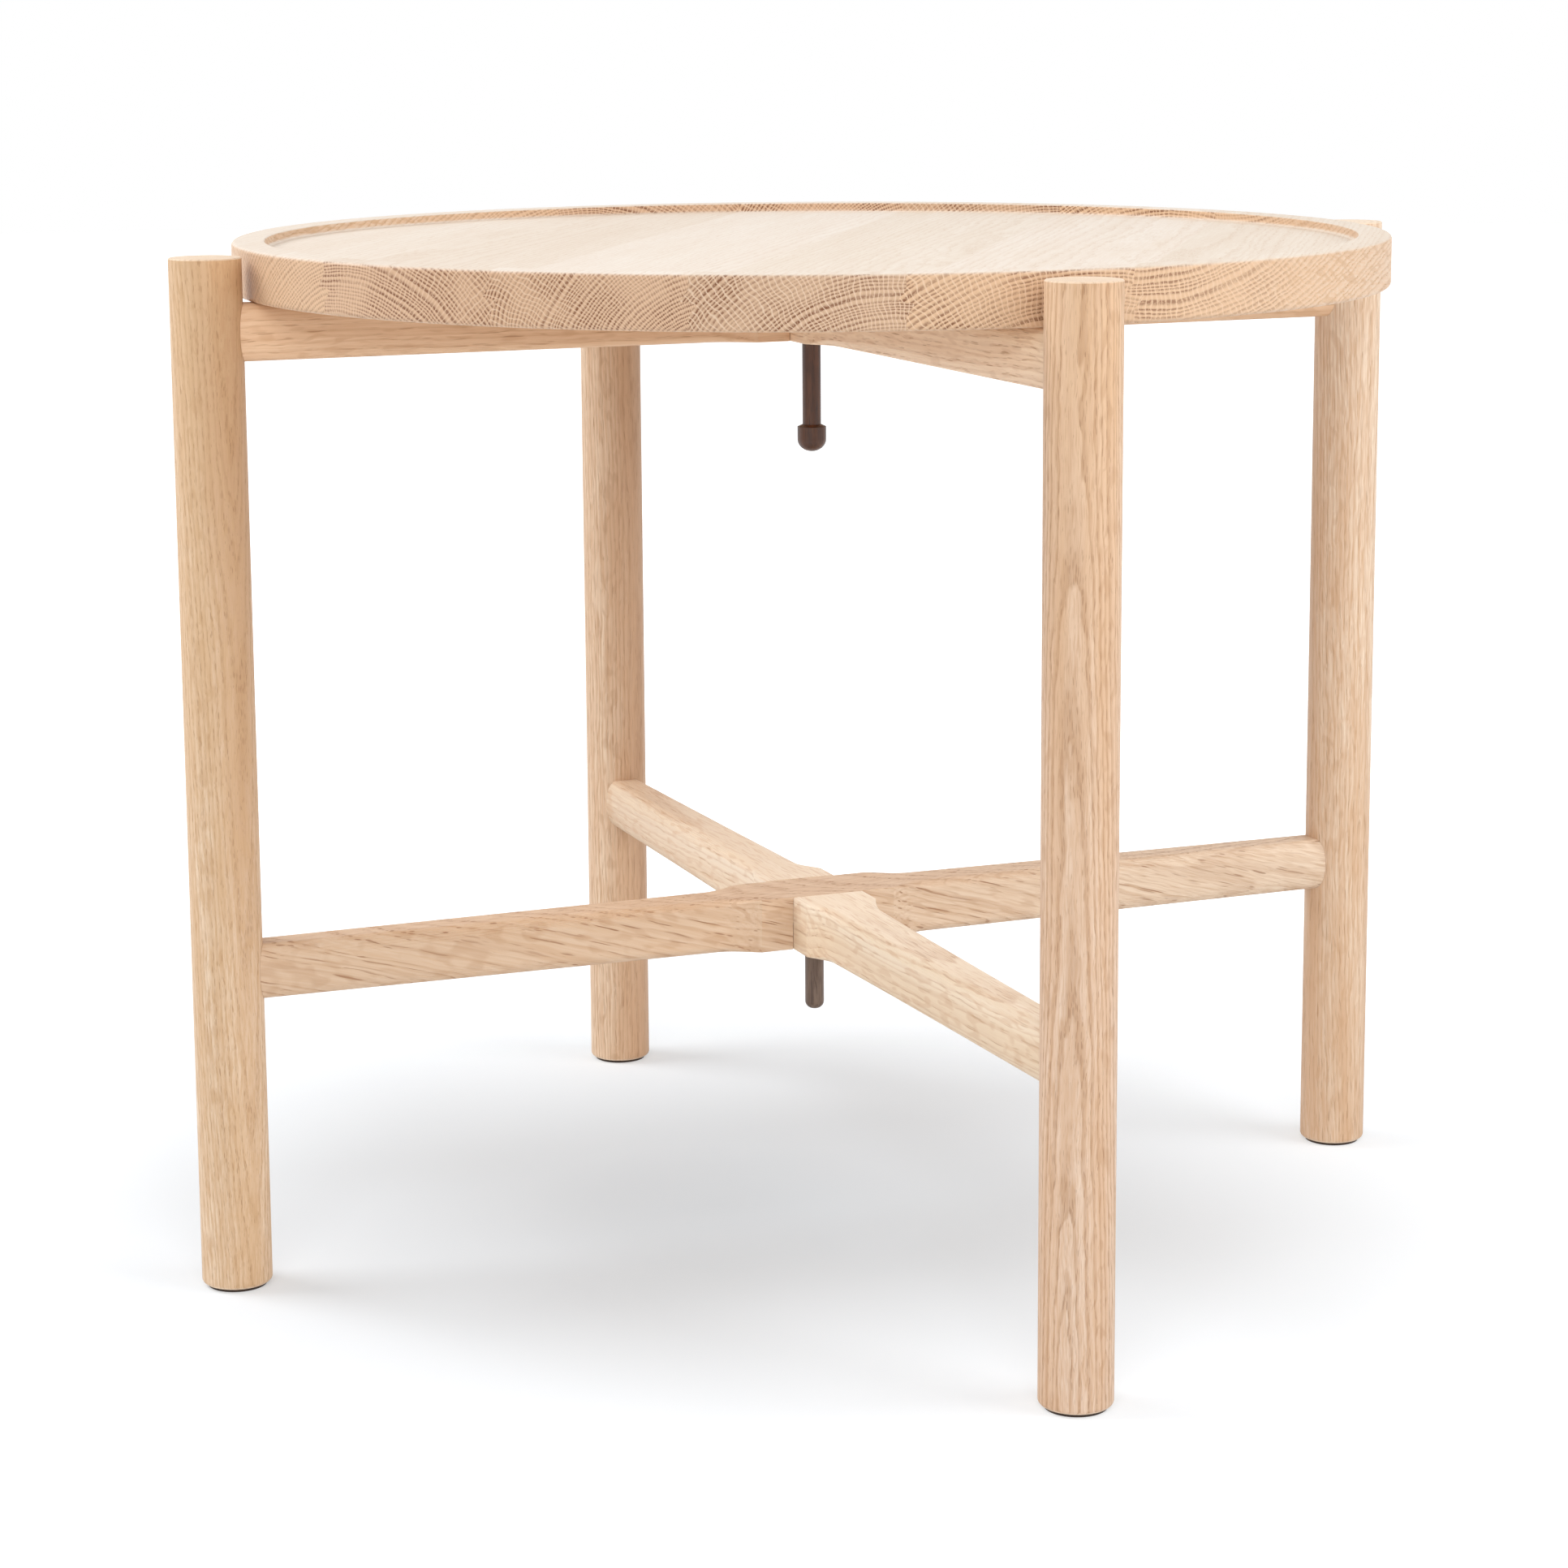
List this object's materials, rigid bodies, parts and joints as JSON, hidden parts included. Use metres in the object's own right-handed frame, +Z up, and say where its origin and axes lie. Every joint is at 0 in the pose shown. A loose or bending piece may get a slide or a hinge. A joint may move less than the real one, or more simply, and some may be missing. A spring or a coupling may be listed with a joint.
{
  "type": "tray table",
  "caption": "Round oak tray table: a dished tray resting on crossed frames of round legs, rails and stretchers, half-lapped and guided by pins at the centre.",
  "frame": {"origin": "on the floor under the centre of the table", "axes": "+Z up, -Y towards the front; the legs stand on the diagonals of X and Y"},
  "size_m": [0.6, 0.6, 0.53],
  "materials": {
    "leg_oak": "soaped pale oak, turned, matt",
    "frame_oak": "soaped pale oak, planed and rounded, matt",
    "tray_oak": "soaped pale oak boards glued edge to edge, matt",
    "dark_walnut": "dark turned walnut, satin",
    "glide": "dark brown matt disc"
  },
  "bodies": {
    "standing_frame": {"leg_front_right": "leg_oak", "leg_back_left": "leg_oak", "glide_front_right": "glide", "glide_back_left": "glide", "standing_rail": "frame_oak", "standing_stretcher": "frame_oak"},
    "lifting_frame": {"leg_front_left": "leg_oak", "leg_back_right": "leg_oak", "glide_front_left": "glide", "glide_back_right": "glide", "lifting_rail": "frame_oak", "lifting_stretcher": "frame_oak", "stop_rod": "dark_walnut", "stop_knob": "dark_walnut", "guide_pin": "dark_walnut"},
    "tray": {"tray_board_1": "tray_oak", "tray_board_2": "tray_oak", "tray_board_3": "tray_oak", "tray_board_4": "tray_oak", "tray_board_5": "tray_oak", "tray_board_6": "tray_oak"}
  },
  "joints": [
    {"name": "frame_lift", "type": "slide", "parent": "standing_frame", "child": "lifting_frame", "axis": [0, 0, 1], "range_m": [0, 0.0455]},
    {"name": "tray_lift", "type": "slide", "parent": "lifting_frame", "child": "tray", "axis": [0, 0, 1], "range_m": [0, 0.1]}
  ]
}
